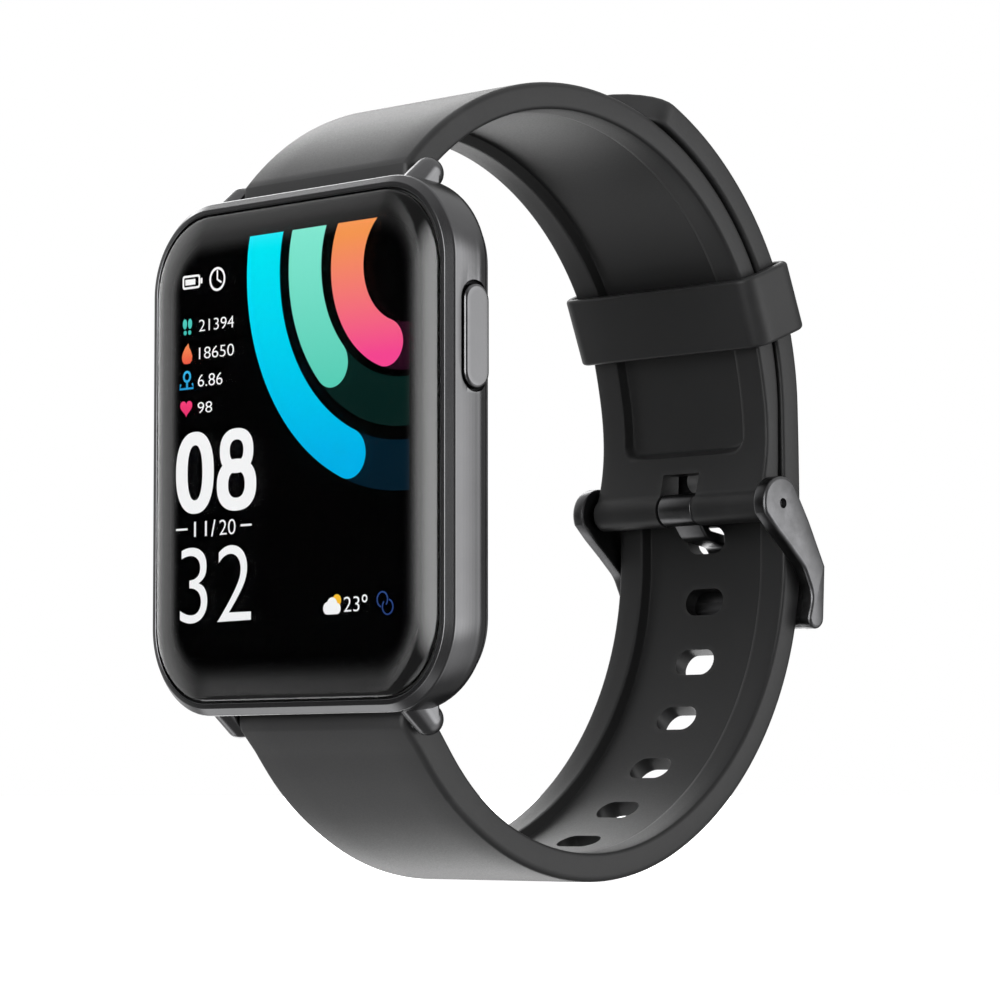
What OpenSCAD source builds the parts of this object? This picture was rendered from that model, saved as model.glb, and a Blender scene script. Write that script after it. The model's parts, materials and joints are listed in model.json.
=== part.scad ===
// Smartwatch with a silicone strap, buckled into a closed loop.
// +X across the strap towards the push button, +Z towards twelve o'clock, the face looks along -Y.
// The origin is the middle of the space for the wrist. All lengths are millimetres.

/* [Case] */
// Width of the metal frame across the wrist
case_w = 36.4; // [36:0.1:38]
// Height of the metal frame, without the lugs
case_h = 42.8; // [42:0.1:44]
// Corner radius of the metal frame seen from the front
case_r = 7.4; // [7:0.1:8.5]
// Width of the chamfer between the rim and the side
chamfer = 0.6; // [0.3:0.05:0.8]
// Distance from the rim to the back edge of the metal frame
frame_depth = 5.0; // [4.9:0.1:5.4]
// Distance from the wrist centre to the front rim
rise = 24; // [23:0.5:27]

/* [Glass] */
// Width of the cover glass
glass_w = 34.0; // [33.4:0.1:34]
// Height of the cover glass
glass_h = 40.4; // [39.8:0.1:40.4]
// How far the flat front of the glass stands out of the rim
glass_proud = 0.9; // [0.5:0.05:1.2]
// Width of the curved edge band of the glass
glass_curve = 3.0; // [2:0.1:4]

/* [Button] */
// Height of the button above the middle of the case
button_z = 8.1; // [4:0.1:8.5]
// Length of the button along the case
button_l = 8.3; // [7:0.1:9]
// Width of the button
button_w = 2.7; // [2.2:0.1:2.8]
// How far the button can be pressed
button_travel = 0.35; // [0.2:0.05:0.4]

/* [Strap] */
// Width of the strap
strap_w = 20; // [19:0.5:20]
// Outer radius of the half with the buckle
arc_r = 26.0; // [25.8:0.05:26.2]
// Thickness of the half with the buckle
short_t = 2.3; // [2:0.1:2.4]
// Thickness of the half with the holes
long_t = 2.4; // [2:0.1:2.4]
// Gap between the two overlapping halves
lap_gap = 0.3; // [0.25:0.05:0.4]
// Depth of the sunk channel on the inner faces
channel_t = 0.5; // [0.2:0.05:0.7]
// Width of the sunk channel
channel_w = 14.4; // [12:0.1:15]
// Number of adjustment holes
hole_count = 11; // [8:1:11]
// Distance between adjustment holes
hole_pitch = 5.45; // [5:0.05:5.5]
// Width of an adjustment hole across the strap
hole_w = 4.5; // [4.2:0.1:5]
// Height of an adjustment hole along the strap
hole_h = 2.4; // [2.4:0.05:2.6]

/* [Buckle and keeper] */
// Radius of the round ends of the buckle's arms
hub_r = 2.45; // [2.2:0.05:2.6]
// Thickness of the buckle's arms
arm_t = 1.4; // [1.2:0.1:1.8]
// Height of the keeper along the strap
keeper_h = 6.2; // [5:0.1:7]
// Wall thickness of the keeper
keeper_wall = 0.8; // [0.6:0.05:1.1]

/* [Hidden] */
$fn = 48;

graphite = [0.16, 0.16, 0.17];
rubber_black = [0.11, 0.11, 0.12];
steel = [0.55, 0.55, 0.57];

lip_w = case_w - 2 * chamfer;
lip_h = case_h - 2 * chamfer;
lip_r = case_r - chamfer;
glass_r = lip_r - 0.6;
glass_bottom = -0.3;         // heights above the rim plane, negative is deeper into the case
ledge = -0.5;
side_end = -3.2;
edge_r = 2.2;
edge_a = asin((frame_depth + side_end) / edge_r);
frame_inset = edge_r * (1 - cos(edge_a));
open_w = 32.0;
open_h = 38.4;
open_r = 5.4;
back_flat = -7.6;
bump_back = -9.2;
screw_x = 12.3;
screw_y = 15.4;

bar_d = 4.35;                // lug bars: distance behind the rim plane and height
bar_z = 21.9;
barrel_r = 1.5;
tube_r = 0.75;
tube_bore = 0.6;
tip_r = 0.4;
bar_half = 9.5;
lug_in = strap_w / 2 + 0.15;
lug_out = lug_in + 2.3;
lug_r = 1.3;

arc_d = 22.75;               // centre of the short half's arc
arc_z = 5.7;
over_r = arc_r + lap_gap;    // inner radius of the long half where it overlaps
tip_a = 64.2;                  // where the free end starts to narrow, and where it is cut
free_a = 72.9;
tip_len = 3.55;
end_a = 1.7;
run = [[400, 13.4], [26.5, 29.3], [21.4, 29.4], [200, 2.2]];

hub_d = 47.1;
hub_z = -2.5;
arm_in = strap_w / 2 + 0.3;
arm_out = arm_in + arm_t;
first_hole = 11.6;

keeper_a = 21.3;
keeper_clear = 0.15;

// ---------- helpers ----------
// Face frame: X right, Y up, Z out of the face, origin on the rim plane
module face() translate([0, -rise, 0]) rotate([90, 0, 0]) children();
// Side profiles: drawn as [depth behind the rim plane, height], extruded across the strap
module slab(x0, x1) translate([x0, -rise, 0]) rotate([90, 0, 90]) linear_extrude(x1 - x0) children();
// Round things on an axis across the strap
module across(d, z) translate([0, d - rise, z]) rotate([90, 0, 90]) children();

module rrect(w, h, r) {
  square([w - 2 * r, h], center = true);
  square([w, h - 2 * r], center = true);
  for (sx = [-1, 1], sy = [-1, 1]) translate([sx * (w / 2 - r), sy * (h / 2 - r)]) circle(r = r);
}
module rr(w, h, r, z0, z1) translate([0, 0, z0]) linear_extrude(z1 - z0) rrect(w, h, r);

// Rounded rectangle with an edge profile, points are [inset, height]
function mirror_pts(half, p) = concat(
  [for (q = p) [half - q[0], q[1]]],
  [for (i = [len(p) - 1:-1:0]) [-(half - p[i][0]), p[i][1]]]);
module rr_edge(w, h, r, p) {
  translate([0, h / 2 - r, 0]) rotate([90, 0, 0]) linear_extrude(h - 2 * r) polygon(mirror_pts(w / 2, p));
  translate([-(w / 2 - r), 0, 0]) rotate([90, 0, 90]) linear_extrude(w - 2 * r) polygon(mirror_pts(h / 2, p));
  for (sx = [-1, 1], sy = [-1, 1]) translate([sx * (w / 2 - r), sy * (h / 2 - r), 0])
    rotate_extrude() polygon(concat([[0, p[0][1]]], [for (q = p) [r - q[0], q[1]]], [[0, p[len(p) - 1][1]]]));
}

// Chain of tangent arcs turning clockwise: each step is [x, y, heading]
function step(p, r, ds) = let(a = ds / r * 180 / PI, h = p[2] - a / 2, c = 2 * r * sin(a / 2))
  [p[0] + c * cos(h), p[1] + c * sin(h), p[2] - a];
function arc_run(p, r, ds, n) = n == 0 ? [] : let(q = step(p, r, ds)) concat([q], arc_run(q, r, ds, n - 1));
function chain(p, segs, i = 0) = i == len(segs) ? [] :
  let(n = max(1, round(segs[i][1] / 1.1)), a = arc_run(p, segs[i][0], segs[i][1] / n, n))
  concat(a, chain(a[n - 1], segs, i + 1));
function shift_out(p, t) = [p[0] - t * sin(p[2]), p[1] + t * cos(p[2])];
function on_arc(r, a) = [arc_d + r * cos(a), arc_z + r * sin(a)];
function arc_pts(c, r, a0, a1, n) = [for (i = [0:n]) let(a = a0 + (a1 - a0) * i / n)
  [c[0] + r * cos(a), c[1] + r * sin(a)]];
function bez(p, n) = [for (i = [1:n - 1]) let(t = i / n, u = 1 - t)
  u * u * u * p[0] + 3 * u * u * t * p[1] + 3 * u * t * t * p[2] + t * t * t * p[3]];

run_start = concat(on_arc(over_r, end_a), [end_a - 90]);
run_pts = concat([run_start], chain(run_start, run));
// A place on the long half's inner face, s measured from where it leaves the arc
function seg_at(p, segs, s, i = 0) = s <= segs[i][1] || i == len(segs) - 1 ? step(p, segs[i][0], s) :
  seg_at(step(p, segs[i][0], segs[i][1]), segs, s - segs[i][1], i + 1);
function long_at(s) = s < 0 ?
  let(a = end_a - s / over_r * 180 / PI) concat(on_arc(over_r, a), [a - 90]) : seg_at(run_start, run, s);

// ---------- case ----------
module lug_profile(grow) polygon(concat(
  [[1.3 - grow, bar_z - 0.85]],
  arc_pts([bar_d, bar_z], lug_r + grow, 128, -62, 12),
  [[4.6, 19.8], [1.6, 19.8]]));
module lug() hull() {
  slab(lug_in, lug_out - 0.75) lug_profile(0);
  slab(lug_out - 0.3, lug_out - 0.2) lug_profile(-0.3);
  slab(lug_out - 0.05, lug_out) lug_profile(-0.65);
}
module case_frame() color(graphite) difference() {
  union() {
    face() rr_edge(case_w, case_h, case_r, concat(
      [[chamfer, 0], [0, -chamfer]],
      [for (i = [0:4]) let(a = edge_a * i / 4) [edge_r * (1 - cos(a)), side_end - edge_r * sin(a)]]));
    for (sx = [0, 1], sz = [0, 1]) mirror([0, 0, sz]) mirror([sx, 0, 0]) lug();
  }
  face() rr(glass_w + 0.3, glass_h + 0.3, glass_r + 0.15, ledge, 1);
  face() rr(open_w, open_h, open_r, -8, 0);
  // hollow that the strap's round end turns in
  for (s = [-1, 1]) across(bar_d, s * bar_z) cylinder(r = barrel_r + 0.35, h = 2 * lug_in, center = true);
  // blind holes for the tips of the lug bars
  for (s = [-1, 1]) across(bar_d, s * bar_z) cylinder(r = tip_r + 0.05, h = 2 * lug_in + 2.2, center = true);
  // button recess, stem bore and the seat of its seal
  button_at(case_w / 2 - 1.3) linear_extrude(3) pill(button_l + 0.5, button_w + 0.4);
  button_at(open_w / 2 - 1) cylinder(r = 0.65, h = 3);
  button_at(open_w / 2 - 1) cylinder(r = 1.05, h = 1.45);
}
module pill(l, w) {
  square([l - w, w], center = true);
  for (s = [-1, 1]) translate([s * (l - w) / 2, 0]) circle(r = w / 2);
}
// Button frame: Z out of the side of the case, X along the case
module button_at(x) face() translate([x, button_z, -3.0]) rotate([0, 90, 0]) rotate([0, 0, 90]) children();

module cover_glass() color([0.05, 0.05, 0.06, 0.5]) face() {
  cr = (glass_curve * glass_curve + (glass_proud - 0.05) * (glass_proud - 0.05)) / (2 * (glass_proud - 0.05));
  am = asin(glass_curve / cr);
  rr_edge(glass_w, glass_h, glass_r, concat(
    [for (i = [0:6]) let(a = am * i / 6) [glass_curve - cr * sin(a), glass_proud - cr * (1 - cos(a))]],
    [[0, glass_bottom]]));
}
module glass_gasket() color("black") face() difference() {
  rr(glass_w - 0.1, glass_h - 0.1, glass_r - 0.05, ledge, glass_bottom);
  rr(open_w, open_h, open_r, -1, 0);
}
module display_panel() color([0.02, 0.02, 0.03]) face() rr(30.6, 37, 6.6, -1.7, glass_bottom);
module display_flex() color([0.7, 0.4, 0.1]) face() {
  translate([5.5, -18.6, -1.9]) cube([6, 3.6, 0.2]);
  translate([5.5, -18.6, -3.95]) cube([6, 0.2, 2.25]);
  translate([5.5, -18.6, -3.95]) cube([6, 9.2, 0.2]);
}
module inner_chassis() color([0.2, 0.2, 0.22]) face() difference() {
  rr(31.4, 37.8, 7.1, -4.0, -1.95);
  // battery, board, motor, button and ribbon cable pockets, open at the back
  translate([-14.3, -9.7, -5]) cube([18.3, 23.4, 2.6]);
  translate([4.3, -13.6, -5]) cube([10.5, 27.4, 2.6]);
  translate([-6, -14.0, -5]) cylinder(r = 4.2, h = 2.6);
  translate([12.7, 5.6, -5]) cube([5, 5.0, 4]);
  translate([5.2, -20, -5]) cube([6.6, 10, 4]);
  for (sx = [-1, 1], sy = [-1, 1]) translate([sx * screw_x, sy * screw_y, -5]) cylinder(r = 0.55, h = 2.6);
}
module main_board() color([0.05, 0.25, 0.15]) face() translate([4.6, -9.2, -3.4]) cube([8.6, 22.7, 0.8]);
module processor_chip() color([0.08, 0.08, 0.08]) face() translate([5.8, 6.2, -4.4]) cube([6, 6, 1.0]);
module memory_chip() color([0.08, 0.08, 0.08]) face() translate([6.2, 0.2, -4.2]) cube([5, 4.4, 0.8]);
module radio_module() color([0.6, 0.6, 0.62]) face() translate([5.8, -6.8, -4.5]) cube([6, 5.4, 1.1]);
module battery() color([0.3, 0.3, 0.35]) face() translate([-14.1, -9.5, -6.1]) cube([17.9, 23, 3.65]);
module vibration_motor() color(steel) face() translate([-6, -14.0, -5.1]) cylinder(r = 4.0, h = 2.65);
module button_switch() color([0.25, 0.25, 0.27]) face() difference() {
  translate([13.25, button_z - 1.8, -3.9]) cube([1.5, 3.6, 1.7]);
  translate([13.9, button_z - 2, -4]) cube([0.3, 4, 0.3]);
}

// ---------- back ----------
module back_cover() color([0.09, 0.09, 0.1]) face() difference() {
  union() {
    // the outer skin carries the frame's rounding on, then slopes to the flat back
    rr_edge(case_w - 2 * frame_inset, case_h - 2 * frame_inset, case_r - frame_inset, [
      [0.05, -frame_depth - 0.1], [0.55, -5.7], [1.5, -6.5], [3.4, -7.3], [5.2, back_flat]]);
    rr(open_w - 0.2, open_h - 0.2, open_r - 0.1, -5.5, -4.1);
    translate([0, 0, bump_back]) cylinder(r1 = 9.6, r2 = 11.4, h = 1.8);
  }
  rr(open_w - 2, open_h - 2, open_r - 1, -6.3, 0);
  rr(open_w - 6, open_h - 6, open_r - 2.4, -6.8, 0);
  translate([0, 0, -8.2]) cylinder(r = 8.9, h = 3);
  translate([0, 0, -10]) cylinder(r = 5.4, h = 3);
  translate([0, 0, -10]) cylinder(r = 6.3, h = 1.5);
  for (s = [-1, 1]) translate([s * 3, -13.2, -9]) cylinder(r = 0.95, h = 3);
  for (sx = [-1, 1], sy = [-1, 1]) translate([sx * screw_x, sy * screw_y, 0]) {
    translate([0, 0, -9]) cylinder(r = 0.75, h = 8);
    translate([0, 0, -9]) cylinder(r = 1.35, h = 2.5);
  }
}
module back_gasket() color("black") face() difference() {
  rr(open_w + 1.2, open_h + 1.2, open_r + 0.6, -frame_depth - 0.1, -frame_depth);
  rr(open_w + 0.2, open_h + 0.2, open_r + 0.1, -6, -4);
}
module back_screws() color(steel) face()
  for (sx = [-1, 1], sy = [-1, 1]) translate([sx * screw_x, sy * screw_y, 0]) difference() {
    union() {
      translate([0, 0, -7.1]) cylinder(r = 1.25, h = 0.6);
      translate([0, 0, -7.1]) cylinder(r = 0.5, h = 4.5);
    }
    translate([-1, -0.15, -7.2]) cube([2, 0.3, 0.35]);
    translate([-0.15, -1, -7.2]) cube([0.3, 2, 0.35]);
  }
module sensor_window() color([0.1, 0.02, 0.02, 0.5]) face() translate([0, 0, -9.15]) cylinder(r = 6.2, h = 0.62);
module sensor_board() color([0.05, 0.25, 0.15]) face() translate([0, 0, -7.4]) cylinder(r = 8.6, h = 0.6);
module sensor_leds() color([0.5, 0.9, 0.5]) face()
  for (s = [-1, 1]) translate([s * 1.3 - 0.8, -0.8, -7.95]) cube([1.6, 1.6, 0.55]);
module photodiodes() color([0.1, 0.1, 0.3]) face()
  for (s = [-1, 1]) translate([-1.3, s * 3.3 - 1, -7.85]) cube([2.6, 2.0, 0.45]);
module charging_contacts() color([0.85, 0.65, 0.25]) face()
  for (s = [-1, 1]) translate([s * 3, -13.2, 0]) {
    translate([0, 0, -7.65]) cylinder(r = 0.9, h = 1.3);
    translate([0, 0, -6.75]) cylinder(r = 1.3, h = 0.4);
  }
module charging_magnets() color(steel) face()
  for (s = [-1, 1]) translate([s * 7, -12.6, -6.75]) cylinder(r = 1.9, h = 1.2);

// ---------- button ----------
module side_button() color(graphite) button_at(0) {
  translate([0, 0, case_w / 2 - 0.9]) linear_extrude(0.85) pill(button_l, button_w);
  translate([0, 0, case_w / 2 - 0.05]) linear_extrude(0.2) pill(button_l - 0.5, button_w - 0.5);
  difference() {
    translate([0, 0, 15.15]) cylinder(r = 0.6, h = case_w / 2 - 0.9 - 15.15);
    translate([0, 0, 15.45]) difference() {
      cylinder(r = 1, h = 0.3);
      cylinder(r = 0.42, h = 0.3);
    }
  }
}
module button_clip() color(steel) button_at(0) translate([0, 0, 15.47]) difference() {
  cylinder(r = 1.1, h = 0.26);
  translate([0, 0, -1]) cylinder(r = 0.44, h = 2);
  translate([-0.4, 0, -1]) cube([0.8, 2, 2]);
}
module button_oring() color("black") button_at(16.22)
  rotate_extrude() translate([0.82, 0]) circle(r = 0.19);

// ---------- strap ----------
short_start_a = atan2(bar_z - arc_z, bar_d - arc_d);
short_in = arc_r - short_t;
short_pts = concat(
  [for (i = [0:68]) on_arc(arc_r, short_start_a + (3 - short_start_a) * i / 68)],
  [[arc_d + arc_r, 4.2], [arc_d + arc_r, 1.2]],
  arc_pts([hub_d, hub_z], barrel_r, 12, -192, 20),
  bez([[hub_d - barrel_r, hub_z + 0.5], [47.7, 3.0], on_arc(short_in, 14) + 5 * [sin(14), -cos(14)],
    on_arc(short_in, 14)], 14),
  [for (i = [0:58]) on_arc(short_in, 14 + (134.5 - 14) * i / 58)],
  arc_pts([bar_d, bar_z], barrel_r, 19, short_start_a - 360 + 8, 20));
module short_channel() intersection() {
  slab(-channel_w / 2, channel_w / 2) polygon(concat(
    [[40, 2]], [[hub_d - 3, 2.0], [47.6, 2.6], [47.66, 5], [47.5, 7.2]],
    [for (i = [0:55]) on_arc(short_in + channel_t, 14 + (126 - 14) * i / 55)],
    [for (i = [0:20]) on_arc(short_in - 3, 126 + (14 - 126) * i / 20)]));
  translate([0, 40, 42.6]) rotate([90, 0, 0]) linear_extrude(80) rrect(channel_w, 80, 1.8);
}
module strap_short() color(rubber_black) difference() {
  slab(-strap_w / 2, strap_w / 2) polygon(short_pts);
  short_channel();
  // notch for the tongue and the bores for both bars
  translate([-2.15, hub_d - rise - 3, hub_z - 3]) cube([4.3, 6, 6.2]);
  across(hub_d, hub_z) cylinder(r = tube_r + 0.05, h = 30, center = true);
  across(bar_d, bar_z) cylinder(r = tube_r + 0.05, h = 30, center = true);
}
lap_pts = [for (i = [0:30]) concat(on_arc(over_r, free_a + (end_a - free_a) * i / 30),
  [free_a + (end_a - free_a) * i / 30 - 90])];
long_mid = concat(lap_pts, [for (i = [1:len(run_pts) - 1]) run_pts[i]]);
last = run_pts[len(run_pts) - 1];
long_pts = concat(
  [for (p = long_mid) shift_out(p, 0)],
  arc_pts([bar_d, -bar_z], barrel_r, last[2] + 248, last[2] + 464, 20),
  [for (i = [len(long_mid) - 1:-1:0]) shift_out(long_mid[i], long_t)]);
module long_channel() slab(-channel_w / 2, channel_w / 2) polygon(concat(
  [for (i = [5:len(long_mid) - 5]) shift_out(long_mid[i], channel_t)],
  [for (i = [len(long_mid) - 5:-1:5]) shift_out(long_mid[i], -0.25)]));
module strap_long() color(rubber_black) difference() {
  slab(-strap_w / 2, strap_w / 2) polygon(long_pts);
  long_channel();
  // rounded free end
  across(arc_d, arc_z) rotate([0, 0, tip_a]) translate([over_r - 1, 0, 0]) rotate([90, 0, 90])
    linear_extrude(long_t + 2) difference() {
      translate([0, -15]) square([8, 30]);
      polygon([for (i = [0:18]) let(a = -90 + 10 * i) [tip_len * cos(a), strap_w / 2 * sin(a)]]);
    }
  for (k = [0:hole_count - 1]) let(p = long_at(first_hole + hole_pitch * (k - 4)))
    across(p[0], p[1]) rotate([0, 0, p[2] + 90]) rotate([0, 90, 0]) translate([0, 0, -1])
      linear_extrude(long_t + 2) pill(hole_w, hole_h);
  across(bar_d, -bar_z) cylinder(r = tube_r + 0.05, h = 30, center = true);
}
module strap_keeper() color(rubber_black) {
  r0 = short_in - keeper_clear - keeper_wall;
  r1 = over_r + long_t + keeper_clear + keeper_wall;
  xi = strap_w / 2 + 0.35;
  xo = xi + keeper_wall + 0.2;
  c = 1.0;
  across(arc_d, arc_z) rotate([0, 0, keeper_a]) difference() {
    intersection() {
      rotate([0, 0, -15]) rotate_extrude(angle = 30) translate([(r0 + r1) / 2, 0]) rrect(r1 - r0, 2 * xo, c);
      translate([0, -keeper_h / 2, -20]) cube([40, keeper_h, 40]);
    }
    rotate([0, 0, -20]) rotate_extrude(angle = 40) translate([(r0 + r1) / 2, 0])
      square([r1 - r0 - 2 * keeper_wall, 2 * xi], center = true);
  }
}

// ---------- buckle ----------
elbow = [52.0, -8.45];
foot = [51.75, -12.15];
toe = [50.5, -12.75];
module arm_profile() {
  hull() {
    translate([hub_d, hub_z]) circle(r = hub_r);
    translate(elbow) circle(r = 0.85);
  }
  hull() {
    translate(elbow) circle(r = 0.85);
    translate(foot) circle(r = 0.8);
  }
  hull() {
    translate(foot) circle(r = 0.8);
    translate(toe) circle(r = 0.65);
  }
}
module buckle_frame() color([0.2, 0.2, 0.21]) difference() {
  union() {
    difference() {
      slab(-arm_out, arm_out) arm_profile();
      translate([-arm_in, hub_d - rise - 10, -20]) cube([2 * arm_in, 20, 24]);
    }
    slab(-arm_out + 0.2, arm_out - 0.2) hull() {
      translate([52.15, -8.35]) circle(r = 0.55);
      translate([51.85, -12.2]) circle(r = 0.6);
    }
  }
  across(hub_d, hub_z) cylinder(r = tip_r + 0.05, h = 40, center = true);
}
blade = [[47.6, -3.3], [48.7, -4.75], [51.9, -5.25], [52.75, -6.6], [53.35, -8.7]];
module buckle_tongue() color([0.2, 0.2, 0.21]) difference() {
  union() {
    across(hub_d, hub_z) cylinder(r = 1.3, h = 4.0, center = true);
    slab(-1.6, 1.6) for (i = [0:3]) hull() {
      translate(blade[i]) circle(r = 0.45);
      translate(blade[i + 1]) circle(r = 0.45);
    }
  }
  across(hub_d, hub_z) cylinder(r = tube_r + 0.05, h = 10, center = true);
}

// ---------- spring bars ----------
module bar_tube(d, z) color(steel) across(d, z) difference() {
  cylinder(r = tube_r, h = 2 * bar_half, center = true);
  cylinder(r = tube_bore, h = 2 * bar_half - 0.6, center = true);
  cylinder(r = tip_r + 0.05, h = 30, center = true);
}
module bar_spring(d, z) color(steel) across(d, z) difference() {
  cylinder(r = 0.5, h = 2 * bar_half - 2.4, center = true);
  cylinder(r = 0.36, h = 30, center = true);
}
module bar_tip(d, z, side, reach) color(steel) across(d, z) mirror([0, 0, side < 0 ? 1 : 0]) {
  translate([0, 0, bar_half - 1.2]) cylinder(r = 0.55, h = 0.8);
  translate([0, 0, bar_half - 0.5]) cylinder(r = tip_r, h = reach - bar_half + 0.5);
}
lug_reach = lug_in + 0.9;
arm_reach = arm_in + 0.9;
module bar_tube_top() bar_tube(bar_d, bar_z);
module bar_tube_bottom() bar_tube(bar_d, -bar_z);
module bar_tube_buckle() bar_tube(hub_d, hub_z);
module bar_spring_top() bar_spring(bar_d, bar_z);
module bar_spring_bottom() bar_spring(bar_d, -bar_z);
module bar_spring_buckle() bar_spring(hub_d, hub_z);
module bar_tip_top_left() bar_tip(bar_d, bar_z, -1, lug_reach);
module bar_tip_top_right() bar_tip(bar_d, bar_z, 1, lug_reach);
module bar_tip_bottom_left() bar_tip(bar_d, -bar_z, -1, lug_reach);
module bar_tip_bottom_right() bar_tip(bar_d, -bar_z, 1, lug_reach);
module bar_tip_buckle_left() bar_tip(hub_d, hub_z, -1, arm_reach);
module bar_tip_buckle_right() bar_tip(hub_d, hub_z, 1, arm_reach);

case_frame();
cover_glass();
glass_gasket();
display_panel();
display_flex();
inner_chassis();
main_board();
processor_chip();
memory_chip();
radio_module();
battery();
vibration_motor();
button_switch();
back_cover();
back_gasket();
back_screws();
sensor_window();
sensor_board();
sensor_leds();
photodiodes();
charging_contacts();
charging_magnets();
side_button();
button_clip();
button_oring();
strap_short();
strap_long();
strap_keeper();
buckle_frame();
buckle_tongue();
bar_tube_top();
bar_tube_bottom();
bar_tube_buckle();
bar_spring_top();
bar_spring_bottom();
bar_spring_buckle();
bar_tip_top_left();
bar_tip_top_right();
bar_tip_bottom_left();
bar_tip_bottom_right();
bar_tip_buckle_left();
bar_tip_buckle_right();
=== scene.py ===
"""Smartwatch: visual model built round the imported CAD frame. Lengths in the mesh code are millimetres."""
import json
import math

import bmesh
import bpy
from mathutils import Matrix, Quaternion, Vector


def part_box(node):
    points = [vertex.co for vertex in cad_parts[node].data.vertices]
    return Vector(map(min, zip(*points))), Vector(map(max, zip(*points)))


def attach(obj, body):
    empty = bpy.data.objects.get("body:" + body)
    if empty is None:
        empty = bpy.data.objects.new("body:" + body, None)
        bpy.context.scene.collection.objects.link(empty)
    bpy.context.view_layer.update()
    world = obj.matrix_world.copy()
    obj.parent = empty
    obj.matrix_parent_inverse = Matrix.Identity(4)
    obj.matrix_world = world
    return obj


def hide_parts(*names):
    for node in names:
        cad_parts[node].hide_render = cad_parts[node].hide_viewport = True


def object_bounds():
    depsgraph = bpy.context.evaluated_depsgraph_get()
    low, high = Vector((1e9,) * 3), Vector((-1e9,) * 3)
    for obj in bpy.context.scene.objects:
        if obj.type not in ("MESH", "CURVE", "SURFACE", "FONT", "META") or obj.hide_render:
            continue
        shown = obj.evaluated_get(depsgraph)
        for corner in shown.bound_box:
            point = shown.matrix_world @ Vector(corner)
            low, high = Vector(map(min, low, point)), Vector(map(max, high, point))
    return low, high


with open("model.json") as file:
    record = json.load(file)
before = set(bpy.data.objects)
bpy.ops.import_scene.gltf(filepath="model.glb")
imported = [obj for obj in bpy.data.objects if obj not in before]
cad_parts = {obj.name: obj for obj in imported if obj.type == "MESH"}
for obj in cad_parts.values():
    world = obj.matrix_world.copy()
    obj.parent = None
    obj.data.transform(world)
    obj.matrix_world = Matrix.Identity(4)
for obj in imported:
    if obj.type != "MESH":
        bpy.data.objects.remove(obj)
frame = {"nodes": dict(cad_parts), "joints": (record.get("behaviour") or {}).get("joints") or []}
cad_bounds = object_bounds()

MM = 0.001
JOINTS = {joint["name"]: joint for joint in frame["joints"]}


# ---------- places taken from the frame ----------
def low(node, axis):
    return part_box(node)[0]["xyz".index(axis)] / MM


def high(node, axis):
    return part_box(node)[1]["xyz".index(axis)] / MM


def middle(node):
    lo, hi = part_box(node)
    return (lo.y + hi.y) / 2 / MM, (lo.z + hi.z) / 2 / MM


def pivot(joint):
    return JOINTS[joint]["pos_m"][1] / MM, JOINTS[joint]["pos_m"][2] / MM


RIM = low("case_frame", "y")                 # plane of the metal rim, the face looks along -Y
CASE_W = 2 * high("case_frame", "x")
CASE_H = 42.8                                # the frame's box also holds the lugs
CASE_R = 7.4
GLASS_W = 2 * high("cover_glass", "x")
GLASS_H = 2 * high("cover_glass", "z")
GLASS_FRONT = low("cover_glass", "y")
GLASS_BACK = high("cover_glass", "y")
TOP_BAR = middle("bar_tube_top")
BOTTOM_BAR = middle("bar_tube_bottom")
HUB = pivot("buckle_swing")
ARC = pivot("keeper_slide")                  # centre of the short half's arc
STRAP_HALF = high("strap_short", "x")
ARC_R = high("strap_short", "y") - ARC[0]
ARM_OUT = high("buckle_frame", "x")
BUTTON = middle("side_button")
BUTTON_TOP = high("side_button", "x")


# ---------- outlines ----------
def unit(angle):
    a = math.radians(angle)
    return math.cos(a), math.sin(a)


def on_circle(centre, r, angle):
    c, s = unit(angle)
    return centre[0] + r * c, centre[1] + r * s


def arc(centre, r, a0, a1, n):
    return [on_circle(centre, r, a0 + (a1 - a0) * i / n) for i in range(n + 1)]


def mix(a, b, t):
    return tuple(u + (v - u) * t for u, v in zip(a, b))


def smooth(t):
    t = min(max(t, 0.0), 1.0)
    return t * t * (3 - 2 * t)


def rounded(points, steps=4, closed=True):
    """Points are (x, y, radius): each corner becomes an arc of its radius."""
    out, count = [], len(points)
    for i, (x, y, r) in enumerate(points):
        if r == 0 or not closed and i in (0, count - 1):
            out.append((x, y))
            continue
        p = Vector((x, y))
        a = Vector(points[i - 1][:2]) - p
        b = Vector(points[(i + 1) % count][:2]) - p
        half = a.angle(b) / 2
        reach = min(r / math.tan(half), a.length * 0.49, b.length * 0.49)
        a.normalize()
        b.normalize()
        centre = p + (a + b).normalized() * reach / math.cos(half)
        u, v = p + a * reach - centre, p + b * reach - centre
        turn = math.pi - 2 * half
        for k in range(steps + 1):
            w = u * math.sin(turn * (1 - k / steps)) + v * math.sin(turn * k / steps)
            out.append(tuple(centre + w / math.sin(turn)))
    return out


def rounded_rect(w, h, r, corner=14, side=5):
    """Anticlockwise rounded rectangle, always with the same number of points."""
    r = max(r, 0.02)
    points = []
    for cx, cy, a in ((1, 1, 0), (-1, 1, 90), (-1, -1, 180), (1, -1, 270)):
        centre = (cx * (w / 2 - r), cy * (h / 2 - r))
        points += arc(centre, r, a, a + 90, corner)
        start = points[-1]
        after = (a + 90) % 360
        nx, ny = {90: (-1, 1), 180: (-1, -1), 270: (1, -1), 0: (1, 1)}[after]
        end = on_circle((nx * (w / 2 - r), ny * (h / 2 - r)), r, after)
        points += [mix(start, end, k / side) for k in range(1, side)]
    return points


def pill(length, width, steps=20):
    r, reach = width / 2, (length - width) / 2
    return arc((reach, 0), r, -90, 90, steps) + arc((-reach, 0), r, 90, 270, steps)


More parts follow.
